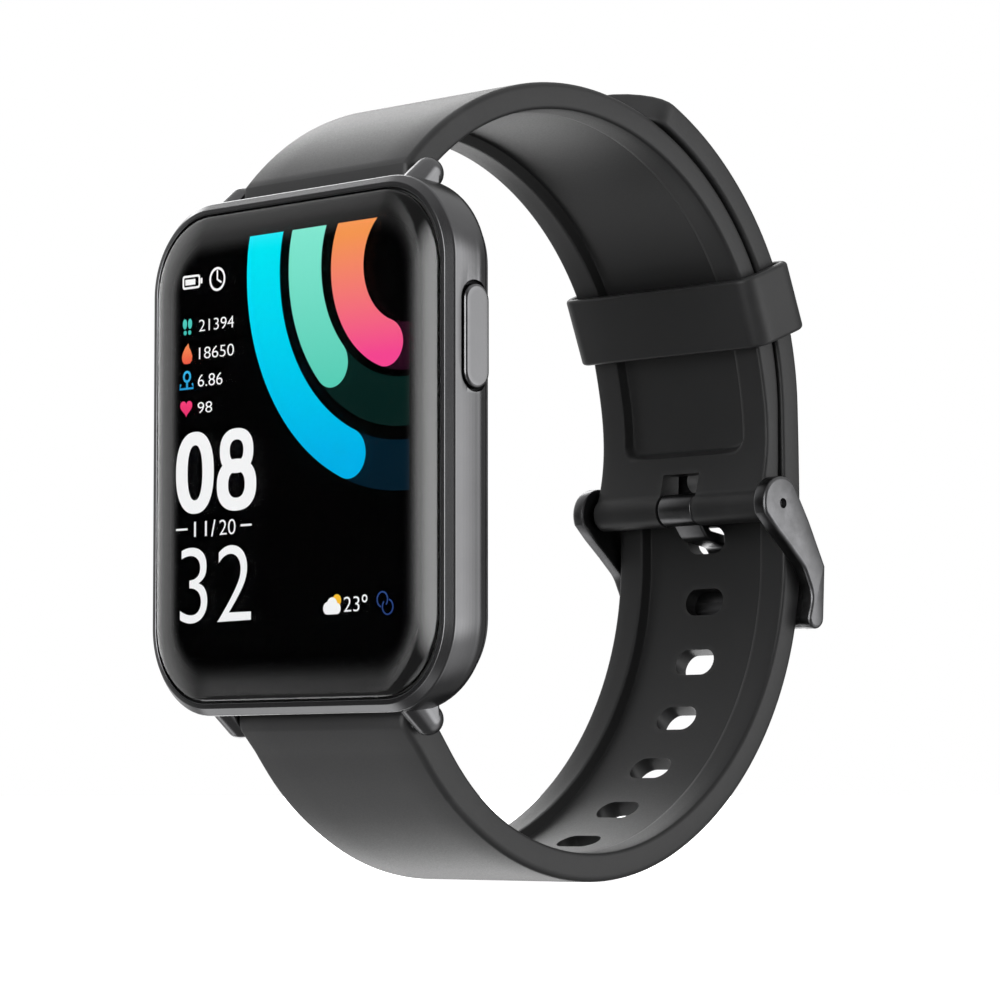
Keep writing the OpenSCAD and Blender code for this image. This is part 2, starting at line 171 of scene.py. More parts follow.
# ---------- meshes ----------
def raw(name, verts, faces):
    """A closed mesh, given in millimetres, with its normals outwards."""
    mesh = bpy.data.meshes.new(name)
    mesh.from_pydata([tuple(c * MM for c in v) for v in verts], [], faces)
    bm = bmesh.new()
    bm.from_mesh(mesh)
    bmesh.ops.remove_doubles(bm, verts=bm.verts, dist=1e-8)
    bmesh.ops.recalc_face_normals(bm, faces=bm.faces)
    bm.to_mesh(mesh)
    bm.free()
    obj = bpy.data.objects.new(name, mesh)
    bpy.context.scene.collection.objects.link(obj)
    return obj


def loft(name, rings, closed=False):
    n, count = len(rings[0]), len(rings)
    faces = []
    for j in range(count if closed else count - 1):
        a, b = j * n, (j + 1) % count * n
        faces += [(a + i, a + (i + 1) % n, b + (i + 1) % n, b + i) for i in range(n)]
    if not closed:
        faces += [tuple(range(n)), tuple(range((count - 1) * n, count * n))]
    return raw(name, [p for ring in rings for p in ring], faces)


def combine(obj, others, operation):
    """Exact union or difference with other meshes, which are used up."""
    for other in others:
        mod = obj.modifiers.new("shape", "BOOLEAN")
        mod.operation = operation
        mod.solver = "EXACT"
        mod.object = other
    bpy.context.view_layer.update()
    graph = bpy.context.evaluated_depsgraph_get()
    mesh = bpy.data.meshes.new_from_object(obj.evaluated_get(graph))
    obj.modifiers.clear()
    obj.data = mesh
    for other in others:
        bpy.data.objects.remove(other)
    return obj


def merge(name, objects):
    """Separate closed meshes as one object."""
    bm = bmesh.new()
    for obj in objects:
        bm.from_mesh(obj.data)
        bpy.data.objects.remove(obj)
    mesh = bpy.data.meshes.new(name)
    bm.to_mesh(mesh)
    bm.free()
    obj = bpy.data.objects.new(name, mesh)
    bpy.context.scene.collection.objects.link(obj)
    return obj


def mark_edges(mesh):
    """Stores how sharply the surface turns at each point, as the attribute that wear follows."""
    bm = bmesh.new()
    bm.from_mesh(mesh)
    values = []
    for v in bm.verts:
        turn = [e.calc_face_angle_signed(0) / max(e.calc_length() / MM, 0.25) * 0.25
                for e in v.link_edges if len(e.link_faces) == 2]
        values.append(min(max(max(turn, default=0) / math.radians(26), 0), 1))
    bm.free()
    layer = mesh.attributes.new("edge", "FLOAT", "POINT")
    layer.data.foreach_set("value", values)


def piece(obj, body, material, stands_for=(), sharp=32):
    """Shades a finished mesh, gives it its material and fixes it to its CAD body."""
    mesh = obj.data
    mesh.shade_smooth()
    mesh.set_sharp_from_angle(angle=math.radians(sharp))
    mark_edges(mesh)
    mesh.materials.clear()
    mesh.materials.append(material)
    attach(obj, body)
    if stands_for:
        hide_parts(*stands_for)
    return obj


# ---------- materials ----------
MIX_A, MIX_B, MIX_RESULT = 6, 7, 2      # the Mix node's colour sockets: their names aren't unique


class Nodes:
    """A small helper to write a node tree line by line."""

    def __init__(self, name):
        self.material = bpy.data.materials.new(name)
        self.material.use_nodes = True
        self.tree = self.material.node_tree
        self.bsdf = self.tree.nodes["Principled BSDF"]
        self.place = self.tree.nodes.new("ShaderNodeTexCoord").outputs["Object"]

    def add(self, kind, links=(), **settings):
        node = self.tree.nodes.new(kind)
        for key, value in settings.items():
            setattr(node, key, value)
        for socket, value in dict(links).items():
            if isinstance(value, bpy.types.NodeSocket):
                self.tree.links.new(value, node.inputs[socket])
            else:
                node.inputs[socket].default_value = value
        return node

    def set(self, **values):
        for key, value in values.items():
            socket = self.bsdf.inputs[key.replace("_", " ")]
            if isinstance(value, bpy.types.NodeSocket):
                self.tree.links.new(value, socket)
            else:
                socket.default_value = value

    def noise(self, size_mm, detail=3.0, rough=0.5):
        links = {"Vector": self.place, "Scale": 1 / (size_mm * MM), "Detail": detail, "Roughness": rough}
        return self.add("ShaderNodeTexNoise", links).outputs["Fac"]

    def span(self, value, lo, hi, start=0.3, end=0.7):
        links = {"Value": value, "From Min": start, "From Max": end, "To Min": lo, "To Max": hi}
        return self.add("ShaderNodeMapRange", links).outputs["Result"]

    def colours(self, factor, a, b):
        """A colour mix; a may be a socket."""
        node = self.add("ShaderNodeMix", data_type="RGBA")
        self.tree.links.new(factor, node.inputs["Factor"])
        if isinstance(a, bpy.types.NodeSocket):
            self.tree.links.new(a, node.inputs[MIX_A])
        else:
            node.inputs[MIX_A].default_value = (*a, 1)
        node.inputs[MIX_B].default_value = (*b, 1)
        return node.outputs[MIX_RESULT]

    def wear(self, patch_mm=1.4):
        """Edges, broken up by noise: 0 on plain surface, 1 where an edge is rubbed."""
        edge = self.add("ShaderNodeAttribute", attribute_name="edge").outputs["Fac"]
        patches = self.span(self.noise(patch_mm, 5, 0.65), 0.25, 1.0, 0.35, 0.65)
        worn = self.add("ShaderNodeMath", {0: edge, 1: patches}, operation="MULTIPLY", use_clamp=True)
        return worn.outputs[0]

    def bump(self, height_map, depth_mm, strength=1.0):
        links = {"Height": height_map, "Distance": depth_mm * MM, "Strength": strength}
        return self.add("ShaderNodeBump", links).outputs["Normal"]


def surface(name, colour, worn, rough, grain_mm, grain_depth_mm, metallic=0.0, mottle_mm=6.0, **settings):
    """Colour that drifts a little, fine grain in roughness and bump, and lighter rubbed edges."""
    n = Nodes(name)
    darker = tuple(c * 0.92 for c in colour)
    drift = n.span(n.noise(mottle_mm, 4, 0.6), 0.0, 1.0, 0.3, 0.7)
    base = n.colours(drift, darker, colour)
    edge = n.colours(n.wear(), base, worn)
    grain = n.noise(grain_mm, 3, 0.6)
    n.set(Base_Color=edge, Metallic=metallic)
    n.set(Roughness=n.span(grain, rough * 0.9, rough * 1.1))
    n.set(Normal=n.bump(grain, grain_depth_mm, 0.6))
    n.set(**settings)
    return n.material


def brushed(name, colour, rough, along="x"):
    """Metal with fine drawn lines along one axis."""
    n = Nodes(name)
    stretch = [1 / (0.05 * MM)] * 3
    stretch["xyz".index(along)] = 1 / (4 * MM)
    mapped = n.add("ShaderNodeMapping", {"Vector": n.place, "Scale": stretch}).outputs["Vector"]
    lines = n.add("ShaderNodeTexNoise", {"Vector": mapped, "Scale": 1.0, "Detail": 2.0}).outputs["Fac"]
    tint = n.colours(n.span(n.noise(2.5, 3, 0.6), 0, 1), tuple(c * 0.8 for c in colour), colour)
    n.set(Base_Color=tint, Metallic=1.0, Roughness=n.span(lines, rough * 0.8, rough * 1.25))
    n.set(Normal=n.bump(lines, 0.004, 0.5))
    return n.material


def light(name, top, bottom, z_top, z_bottom, strength=1.0):
    """A lit part of the screen, whose colour runs from top to bottom."""
    n = Nodes(name)
    z = n.add("ShaderNodeSeparateXYZ", {"Vector": n.place}).outputs["Z"]
    glow = n.colours(n.span(z, 0, 1, z_bottom * MM, z_top * MM), bottom, top)
    n.set(Base_Color=(0.002, 0.002, 0.002, 1), Roughness=0.4, Specular_IOR_Level=0.0)
    n.set(Emission_Color=glow, Emission_Strength=strength)
    return n.material


def rgb(r, g, b):
    """Scene-linear colour from 0 to 255 screen values."""
    return tuple(((c / 255 + 0.055) / 1.055) ** 2.4 if c > 10 else c / 255 / 12.92 for c in (r, g, b))


METAL = surface("dark_anodised_metal", (0.115, 0.115, 0.118), (0.17, 0.17, 0.175), 0.24, 0.09, 0.0015, 1.0)
BUCKLE_METAL = surface("buckle_metal", (0.085, 0.085, 0.087), (0.14, 0.14, 0.145), 0.32, 0.11, 0.002, 1.0)
SILICONE = surface("strap_silicone", (0.02, 0.02, 0.0205), (0.03, 0.03, 0.0305), 0.45, 0.16, 0.004,
                   Specular_IOR_Level=0.25)
BACK_PLASTIC = surface("back_plastic", (0.022, 0.022, 0.024), (0.05, 0.05, 0.052), 0.38, 0.12, 0.004)
GASKET = surface("gasket_rubber", (0.012, 0.012, 0.012), (0.02, 0.02, 0.02), 0.7, 0.2, 0.006)
SCREEN_BLACK = surface("screen_black", (0.0012, 0.0012, 0.0014), (0.002, 0.002, 0.002), 0.5, 0.3, 0.0005,
                       Specular_IOR_Level=0.0)
BOARD = surface("board_mask", (0.02, 0.12, 0.06), (0.10, 0.22, 0.14), 0.45, 0.4, 0.01)
CHIP = surface("chip_epoxy", (0.02, 0.02, 0.022), (0.06, 0.06, 0.06), 0.55, 0.12, 0.006)
CHASSIS = surface("chassis_plastic", (0.06, 0.06, 0.065), (0.11, 0.11, 0.115), 0.5, 0.25, 0.008)
FOIL = surface("battery_foil", (0.34, 0.35, 0.38), (0.6, 0.6, 0.62), 0.38, 0.8, 0.02, 0.6)
FLEX = surface("polyimide_film", (0.55, 0.26, 0.05), (0.7, 0.4, 0.12), 0.35, 0.5, 0.006)
LED = surface("led_lens", (0.45, 0.75, 0.42), (0.6, 0.85, 0.55), 0.2, 0.3, 0.002)
DIODE = surface("photodiode_face", (0.03, 0.03, 0.09), (0.08, 0.08, 0.16), 0.15, 0.3, 0.002)
STEEL = brushed("bar_steel", (0.55, 0.55, 0.57), 0.28)
DARK_STEEL = brushed("screw_steel", (0.22, 0.22, 0.23), 0.34)
GOLD = brushed("contact_gold", (0.86, 0.62, 0.26), 0.22)
NICKEL = brushed("magnet_nickel", (0.6, 0.6, 0.6), 0.25)


def glass_material(name, tint, rough=0.0):
    """Clear glass with faint smears in its gloss."""
    n = Nodes(name)
    n.set(Base_Color=(*tint, 1), Roughness=n.span(n.noise(5, 3, 0.5), rough, rough + 0.012, 0.45, 0.75))
    n.set(IOR=1.5, Transmission_Weight=1.0)
    return n.material


GLASS = glass_material("cover_glass", (1, 1, 1))
DARK_GLASS = glass_material("sensor_glass", (0.22, 0.05, 0.05), 0.02)


# ---------- simple solids ----------
def rim(radius, steps=4):
    """Inset and distance from the face, over a quarter-round rim that ends on the face."""
    if radius == 0:
        return [(0, 0)]
    turn = [unit(90 * k / steps) for k in range(steps + 1)]
    return [(radius * (1 - c), radius * (1 - s)) for c, s in turn]


def inset_outline(outline, inset):
    """The outline moved inwards, for outlines without sharp corners."""
    count = len(outline)
    area = sum(p[0] * q[1] - q[0] * p[1] for p, q in zip(outline, outline[1:] + outline[:1]))
    side = inset if area > 0 else -inset
    moved = []
    for i, (u, v) in enumerate(outline):
        d = Vector(outline[(i + 1) % count]) - Vector(outline[i - 1])
        d.normalize()
        moved.append((u - d.y * side, v + d.x * side))
    return moved


def both_sides(path, reach):
    """The lines that run beside a path of vectors, to its left and to its right."""
    left, right = [], []
    for k, p in enumerate(path):
        d = (path[min(k + 1, len(path) - 1)] - path[max(k - 1, 0)]).normalized()
        n = Vector((-d.y, d.x)) * reach
        left.append(tuple(p + n))
        right.append(tuple(p - n))
    return left, right


def round_end(end, before, r, half_turn, steps):
    """The arc that closes a stroke at its end."""
    d = (end - before).normalized()
    heading = math.degrees(math.atan2(d.y, d.x))
    return arc(tuple(end), r, heading + half_turn, heading - half_turn, steps)


def plate(name, outline, x0, x1, edge0=0.0, edge1=0.0):
    """A side outline of (y, z) points, from x0 to x1, with rounded rims."""
    rings = [(x0 + d, inset) for inset, d in reversed(rim(edge0))]
    rings += [(x1 - d, inset) for inset, d in rim(edge1)]
    return loft(name, [[(x, *p) for p in inset_outline(outline, inset)] for x, inset in rings])


def spindle(name, centre, levels, sides=48):
    """A turned thing along X: levels are (x, radius)."""
    rings = [[(x, *on_circle(centre, r, 360 * k / sides)) for k in range(sides)] for x, r in levels]
    return loft(name, rings)


def post(name, x, z, levels, sides=48):
    """A turned thing along Y: levels are (y, radius)."""
    turns = [unit(360 * k / sides) for k in range(sides)]
    return loft(name, [[(x + r * c, y, z + r * s) for c, s in turns] for y, r in levels])


# ---------- case ----------
FRAME_DEPTH = 5.0
SIDE_END = 3.2                # where the flat side starts to round towards the back
SIDE_ROUND = 2.2
SIDE_CROWN = 0.1              # how much the side falls away before that
OPENING = 2.2                 # inset of the display opening from the outside
GLASS_SEAT = (CASE_W - GLASS_W) / 2 - 0.15
CHAMFER = 0.6
BARREL = 1.5                  # radius of the strap's round ends
LUG_IN = STRAP_HALF + 0.15
LUG_OUT = LUG_IN + 2.3
LUG_R = 1.3
LUG_FRONT = 0.55              # how far behind the rim the lug starts
LUG_BACK = 4.6
LUG_ROOT = 19.3               # height inside the frame where the lug ends
LUG_ROUND = 1.15              # rounding of the lug's two sides, along X
PIN_HOLE = 0.45
SIDE = CASE_W / 2
BUTTON_L = 8.3
BUTTON_WIDE = 2.7
STEM_R = 0.6
CLIP_GROOVE_R = 0.42
GLASS_R = 6.5
GLASS_BAND = 4.7              # width of the curved edge
GLASS_DROP = 0.82
GLASS_POWER = 2.4


def frame_ring(inset, depth):
    """The case's outline, moved inwards, at a depth behind the rim."""
    outline = rounded_rect(CASE_W - 2 * inset, CASE_H - 2 * inset, CASE_R - inset, 20, 8)
    return [(x, RIM + depth, z) for x, z in outline]


def frame_section():
    """Inset and depth behind the rim, once round the metal frame's section."""
    turn = math.degrees(math.asin((FRAME_DEPTH - SIDE_END) / SIDE_ROUND))
    back = arc((SIDE_ROUND, SIDE_END), SIDE_ROUND, 180, 180 - turn, 9)
    crown = [(SIDE_CROWN * k * k / 36, 1.1 + (SIDE_END - 1.1) * k / 6, 0) for k in range(1, 6)]
    corners = [(OPENING, 0.5, 0.04), (GLASS_SEAT, 0.5, 0.04), (GLASS_SEAT, 0, 0.1), (CHAMFER, 0.05, 0.08)]
    corners += [(0, CHAMFER + 0.05, 0.3)] + crown
    corners += [(SIDE_CROWN + x * (1 - SIDE_CROWN / back[-1][0]), y, 0) for x, y in back[:-1]]
    corners += [(*back[-1], 0.1), (OPENING, FRAME_DEPTH, 0.05)]
    section, out = rounded(corners), []
    for a, b in zip(section, section[1:] + section[:1]):
        out.append(a)
        if math.dist(a, b) > 0.25:
            near = 0.03 / math.dist(a, b)
            out += [mix(a, b, near), mix(a, b, 1 - near)]
    return out


def lug(sx, sz):
    """A horn that curves back from the frame to the bar, with a well rounded outer side."""
    d, z = TOP_BAR[0] - RIM, TOP_BAR[1]
    turn = [unit(7.5 * k) for k in range(13)]
    levels = [(LUG_IN + LUG_ROUND * (1 - s), 0.7 * (1 - c)) for c, s in reversed(turn)]
    levels += [(LUG_OUT - LUG_ROUND * (1 - s), 1.2 * (1 - c)) for c, s in turn[1:]]
    rings = []
    for x, inset in levels:
        outline = [(LUG_FRONT + 1.9 * inset, z - 1.5 - 0.3 * inset)]
        outline += arc((d, z), LUG_R - inset, 132, -62, 28)
        outline += [(LUG_BACK - 0.3 * inset, LUG_ROOT), (1.6 + inset, LUG_ROOT)]
        rings.append([(sx * x, RIM + u, sz * v) for u, v in outline])
    return loft("lug", rings)


def pill_post(name, length, width, levels):
    """A pill on the case's side, long way up: levels are (x, how far it is grown)."""
    y, z = BUTTON
    return loft(name, [[(x, y + b, z + a) for a, b in pill(length + 2 * grow, width + 2 * grow)]
                       for x, grow in levels])


def build_case():
    shell = loft("case_shell", [frame_ring(i, d) for i, d in frame_section()], closed=True)
    combine(shell, [lug(sx, sz) for sx in (-1, 1) for sz in (-1, 1)], "UNION")
    cutters = []
    for bar in (TOP_BAR, BOTTOM_BAR):
        cutters.append(spindle("hollow", bar, [(-LUG_IN, BARREL + 0.35), (LUG_IN, BARREL + 0.35)], 72))
        cutters.append(spindle("pin_hole", bar, [(-LUG_IN - 1.1, PIN_HOLE), (LUG_IN + 1.1, PIN_HOLE)], 24))
    flare = 0.2
    recess = [(SIDE - 1.3, 0)]
    recess += [(SIDE - flare * (1 - unit(a)[1]), flare * (1 - unit(a)[0])) for a in (0, 22, 45, 68, 90)]
    recess += [(SIDE + 1, flare)]
    cutters.append(pill_post("recess", BUTTON_L + 0.5, BUTTON_WIDE + 0.4, recess))
    combine(shell, cutters, "DIFFERENCE")
    piece(shell, "watch", METAL, ["case_frame"])


def build_glass():
    """Cover glass: flat in the middle, rolling off over a band all round."""
    edge = GLASS_FRONT + GLASS_DROP
    levels = [(0.12, GLASS_BACK - 0.06), (0.0, GLASS_BACK - 0.18), (0.0, edge + 0.08), (0.03, edge + 0.02)]
    for k in range(1, 21):
        levels.append((GLASS_BAND * k / 20, GLASS_FRONT + GLASS_DROP * (1 - k / 20) ** GLASS_POWER))
    rings = []
    for inset, y in levels:
        outline = rounded_rect(GLASS_W - 2 * inset, GLASS_H - 2 * inset, GLASS_R - inset, 18, 8)
        rings.append([(x, y, z) for x, z in outline])
    piece(loft("glass_dome", rings), "watch", GLASS, ["cover_glass"], 40)


def build_button():
    bottom = SIDE - 0.9
    levels = [(bottom, -0.15), (bottom + 0.15, 0)] + [(BUTTON_TOP - x, -i) for i, x in rim(0.3, 6)]
    cap = pill_post("button_cap", BUTTON_L, BUTTON_WIDE, levels + [(BUTTON_TOP, -0.6)])
    start = low("side_button", "x")
    stem = [(start, STEM_R - 0.08), (start + 0.08, STEM_R), (start + 0.3, STEM_R)]
    stem += [(start + 0.3, CLIP_GROOVE_R), (start + 0.6, CLIP_GROOVE_R)]
    stem += [(start + 0.6, STEM_R), (bottom + 0.3, STEM_R)]
    combine(cap, [spindle("stem", BUTTON, stem, 32)], "UNION")
    piece(cap, "button", METAL, ["side_button"])


# ---------- back ----------
SCREWS = [(sx * 12.3, sz * 15.4) for sx in (-1, 1) for sz in (-1, 1)]
CONTACTS = [(-3, -13.2), (3, -13.2)]


def round_ring(r, depth):
    """A circle whose points lie in the same directions as the frame's outline."""
    ring = []
    for x, _, z in frame_ring(6.0, 0):
        reach = math.hypot(x, z)
        ring.append((x * r / reach, RIM + depth, z * r / reach))
    return ring


def build_back():
    """Back shell: plug, sloped skin, flat, and the dome with the seat of its window."""
    skin = [(2.3, 4.1, 0.1), (2.3, 5.1, 0.02), (0.98, 5.1, 0.08), (1.48, 5.7, 0.5), (2.43, 6.5, 0.9)]
    skin += [(4.33, 7.3, 1.2), (6.13, 7.6, 0)]
    dome = [(11.9, 7.6, 0), (11.4, 7.62, 0.3), (9.6, 9.2, 0.5), (6.3, 9.2, 0.12), (6.3, 8.5, 0.02)]
    inside = [(5.4, 8.5), (5.4, 8.2), (8.9, 8.2), (8.9, 6.9)]
    rings = [frame_ring(i, d) for i, d in rounded(skin, closed=False)]
    rings += [round_ring(r, d) for r, d in rounded(dome, closed=False)]
    rings += [round_ring(r, d) for r, d in inside]
    rings += [frame_ring(5.2, 6.8), frame_ring(3.2, 6.3), frame_ring(3.2, 4.1)]
    shell = loft("back_shell", rings, closed=True)
    cutters = []
    for x, z in SCREWS:
        bore = [(RIM + 3, 0.75), (RIM + 6.5, 0.75), (RIM + 6.5, 1.35), (RIM + 9, 1.35)]
        cutters.append(post("screw_bore", x, z, bore, 32))
    for x, z in CONTACTS:
        cutters.append(post("contact_bore", x, z, [(RIM + 3, 0.95), (RIM + 9, 0.95)], 32))
    combine(shell, cutters, "DIFFERENCE")
    piece(shell, "watch", BACK_PLASTIC, ["back_cover"])


def build_sensor_window():
    """A slightly domed lens over the sensors."""
    r, inner, outer = high("sensor_window", "x"), low("sensor_window", "y"), high("sensor_window", "y")
    levels = [(inner, r - 0.1), (inner + 0.08, r), (outer - 0.25, r)]
    levels += [(outer - 0.22 * (1 - unit(a)[1]) - 0.02 * (90 - a) / 90, r - 0.35 * (1 - unit(a)[0]))
               for a in (15, 30, 50, 70, 90)]
    levels += [(outer, 3.0)]
    lens = post("sensor_lens", 0, 0, levels, 96)
    piece(lens, "watch", DARK_GLASS, ["sensor_window"], 40)


# ---------- strap ----------
OUT_R = 0.55                  # rounding of the outer edges
IN_R = 0.35                   # rounding of the inner edges
CHANNEL_HALF = 7.2
CHANNEL_DEPTH = 0.8
CHANNEL_WALL = 0.5
CHANNEL_CORNER = 1.5
SHORT_T = 2.3
LONG_T = 2.4
BAR_BORE = 0.8
NOTCH_HALF = 2.15             # half the width of the tongue's notch
COLUMNS = [8.6, 7.5, 7.24, 7.12, 7.0, 6.88, 6.76, 6.64, 6.52, 6.4, 5.8, 4.6, 3.0, 1.5]
COLUMNS += [0] + [-x for x in reversed(COLUMNS)]


def channel(s, x, s0, s1):
    """Depth of the sunk channel, a rounded rectangle with soft walls."""
    r = CHANNEL_CORNER
    u = abs(s - (s0 + s1) / 2) - ((s1 - s0) / 2 - r)
    v = abs(x) - (CHANNEL_HALF - r)
    distance = math.hypot(max(u, 0), max(v, 0)) + min(max(u, v), 0) - r
    return CHANNEL_DEPTH * smooth(-distance / CHANNEL_WALL)


def strap_ring(outer, inner, half=STRAP_HALF, sink=None):
    """The strap's section between two points, with rounded edges and its channel."""
    o, i = Vector(outer), Vector(inner)
    t = (i - o).length
    n = (i - o) / t
    a, b = min(OUT_R, 0.45 * t), min(IN_R, 0.45 * t)
    around = rounded([(-half, 0, a), (half, 0, a), (half, t, b), (-half, t, b)], 5)
    k = (half - b - 0.02) / (STRAP_HALF - IN_R - 0.02)
    face = [(-6 * k, 0), (-2 * k, 0), (2 * k, 0), (6 * k, 0)]
    floor = [(x * k, t - (sink(x) if sink else 0)) for x in COLUMNS]
    points = around[:6] + face + around[6:18] + floor + around[18:]
    return [(x, *(o + n * depth)) for x, depth in points]


def stations(start, end, step, fine, fine_step=0.18):
    """Evenly spread places, with closer ones in the fine stretches."""
    count = round((end - start) / step)
    values = [start + (end - start) * k / count for k in range(count + 1)]
    for f0, f1 in fine:
        values = [v for v in values if not f0 < v < f1]
        n = round((f1 - f0) / fine_step)
        values += [f0 + (f1 - f0) * k / n for k in range(n + 1)]
    values = sorted(values)
    return [v for k, v in enumerate(values) if k == 0 or v - values[k - 1] > 0.05]


def barrel_end(bar, out, along, order, flat=0):
    """Half of the strap's round end: chords across a circle, whose outer side can start with a flat."""
    o, a = Vector(out), Vector(along)
    rings = []
    for angle in (3, 14, 28, 42, 55, 67, 77, 84):
        c, s = unit(angle)
        middle_point = Vector(bar) + a * BARREL * s
        top = 1 - (1 - unit(flat)[0]) * s / unit(flat)[1] if angle < flat else c
        rings.append(strap_ring(middle_point + o * BARREL * top, middle_point - o * BARREL * c))
    return rings if order > 0 else rings[::-1]


def on_arc(r, angle):
    return on_circle(ARC, r, angle)


def build_short_strap():
    """From the upper lugs over the wrist, down to the buckle's bar."""
    start = math.degrees(math.atan2(TOP_BAR[1] - ARC[1], TOP_BAR[0] - ARC[0]))
    arc_end, swell_end = 3.0, 14.0
    per_degree = math.radians(ARC_R)
    s_arc = (start - arc_end) * per_degree
    s_swell = (start - swell_end) * per_degree
    knee = (ARC[0] + ARC_R, 1.2)
    drop = on_arc(ARC_R, arc_end)[1] - knee[1]
    s_end = s_arc + drop + knee[1] - HUB[1]
    inner_r = ARC_R - SHORT_T
    meet = on_circle(HUB, BARREL, 126)
    swell = [on_arc(inner_r, swell_end), (HUB[0] - 0.144, 6.58), (HUB[0] + 0.4, 3.0), meet]

    def outer(s):
        if s <= s_arc:
            return on_arc(ARC_R, start - s / per_degree)
        if s <= s_arc + drop:
            return (knee[0], on_arc(ARC_R, arc_end)[1] - (s - s_arc))
        k = (s - s_arc - drop) / (s_end - s_arc - drop)
        return mix(knee, (HUB[0] + BARREL, HUB[1]), k)

    def inner(s):
        if s <= s_swell:
            return on_arc(inner_r - 0.7 * (1 - smooth(s / 2.4)), start - s / per_degree)
        k = (s - s_swell) / (s_end - meet[1] + HUB[1] - s_swell)
        if k < 1:
            u = ((1 - k) ** 3, 3 * (1 - k) ** 2 * k, 3 * (1 - k) * k * k, k ** 3)
            return tuple(sum(w * q[a] for w, q in zip(u, swell)) for a in (0, 1))
        above = outer(s)[1] - HUB[1]
        return HUB[0] - math.sqrt(BARREL ** 2 - above ** 2), HUB[1] + above

    s0, s1 = (start - 126) * per_degree, s_arc + drop - 1.3
    out = unit(start)
    rings = barrel_end(TOP_BAR, out, (-out[1], out[0]), -1, 76)
    for s in stations(0, s_end, 0.8, [(s0 - 0.2, s0 + 2.2), (s1 - 2.2, s1 + 0.2), (s_end - 1.5, s_end)]):
        rings.append(strap_ring(outer(s), inner(s), sink=lambda x: channel(s, x, s0, s1)))
    rings += barrel_end(HUB, (1, 0), (0, -1), 1)
    strap = loft("strap_upper", rings)
    near, far = HUB[0] - 3, HUB[0] + 3
    notch = rounded([(near, -5.5, 0), (far, -5.5, 0), (far, 0.7, 0.4), (near, 0.7, 0.4)])
    cutters = [plate("notch", notch, -NOTCH_HALF, NOTCH_HALF)]
    cutters += [spindle("bore", bar, [(-11, BAR_BORE), (11, BAR_BORE)], 32) for bar in (TOP_BAR, HUB)]
    combine(strap, cutters, "DIFFERENCE")
    piece(strap, "watch", SILICONE, ["strap_short"])


LAP_R = ARC_R + 0.3           # inner radius of the long half where it lies on the short one
LAP_END = 1.7
TIP_ANGLE = 64.2
FREE_END = 71.3
RUN = ((400, 13.4), (26.5, 29.3), (21.4, 29.4), (200, 2.2))     # radius and length of each stretch
HOLE_PITCH = 5.45
FIRST_HOLE = 11.6 - 4 * HOLE_PITCH
HOLES = 11


def long_at(s):
    """Place and heading on the long half's inner face, s from where it leaves the arc."""
    heading = math.radians(LAP_END - 90)
    if s < 0:
        angle = LAP_END - math.degrees(s / LAP_R)
        return Vector(on_arc(LAP_R, angle)), math.radians(angle - 90)
    place = Vector(on_arc(LAP_R, LAP_END))
    for r, length in RUN:
        step = min(s, length)
        turn = step / r
        chord = 2 * r * math.sin(turn / 2)
        place = place + chord * Vector((math.cos(heading - turn / 2), math.sin(heading - turn / 2)))
        heading -= turn
        s -= step
        if s <= 0:
            break
    return place, heading


def outwards(heading):
    return Vector((-math.sin(heading), math.cos(heading)))


def hole_cutter(s):
    place, heading = long_at(s)
    along, out = Vector((math.cos(heading), math.sin(heading))), outwards(heading)
    rings = []
    levels = [(-0.2, 0.5), (0.5, 0.14), (0.62, 0.03), (0.75, 0), (1.0, 0)]
    levels += [(2.15, 0), (2.28, 0.03), (LONG_T, 0.14), (LONG_T + 0.7, 0.5)]
    for depth, grow in levels:
        base = place + out * depth
        rings.append([(x, *(base + along * v)) for x, v in pill(4.5 + 2 * grow, 2.4 + 2 * grow, 14)])
    return loft("hole", rings)


def build_long_strap():
    """From its free end under the keeper, round the wrist, up to the lower lugs."""
    s_end = sum(length for _, length in RUN)
    s_tip = math.radians(LAP_END - TIP_ANGLE) * LAP_R
    s_free = math.radians(LAP_END - FREE_END) * LAP_R
    s0, s1 = s_free + 7.0, s_end - 5.5
    rings = []
    for angle in (86, 80, 73, 65, 56, 46, 36, 26, 16, 7):
        c, k = unit(angle)
        s = s_tip + (s_free - s_tip) * k
        left = s - s_free
        shave = 0.8 - math.sqrt(max(0.64 - max(0.8 - left, 0) ** 2, 0))
        place, heading = long_at(s)
        out = outwards(heading)
        rings.append(strap_ring(place + out * (LONG_T - shave), place + out * shave, STRAP_HALF * c))
    for s in stations(s_tip, s_end, 0.8, [(s0 - 0.2, s0 + 2.2), (s1 - 2.2, s1 + 0.2)]):
        place, heading = long_at(s)
        out = outwards(heading)
        swell = 0.3 * smooth((s - s_end + 11) / 11)
        outer, inner = place + out * (LONG_T + swell), place - out * swell
        rings.append(strap_ring(outer, inner, sink=lambda x: channel(s, x, s0, s1)))
    place, heading = long_at(s_end)
    rings += barrel_end(BOTTOM_BAR, outwards(heading), (math.cos(heading), math.sin(heading)), 1)
    strap = loft("strap_lower", rings)
    cutters = [hole_cutter(FIRST_HOLE + HOLE_PITCH * k) for k in range(HOLES)]
    cutters.append(spindle("bore", BOTTOM_BAR, [(-11, BAR_BORE), (11, BAR_BORE)], 32))
    combine(strap, cutters, "DIFFERENCE")
    piece(strap, "watch", SILICONE, ["strap_long"])


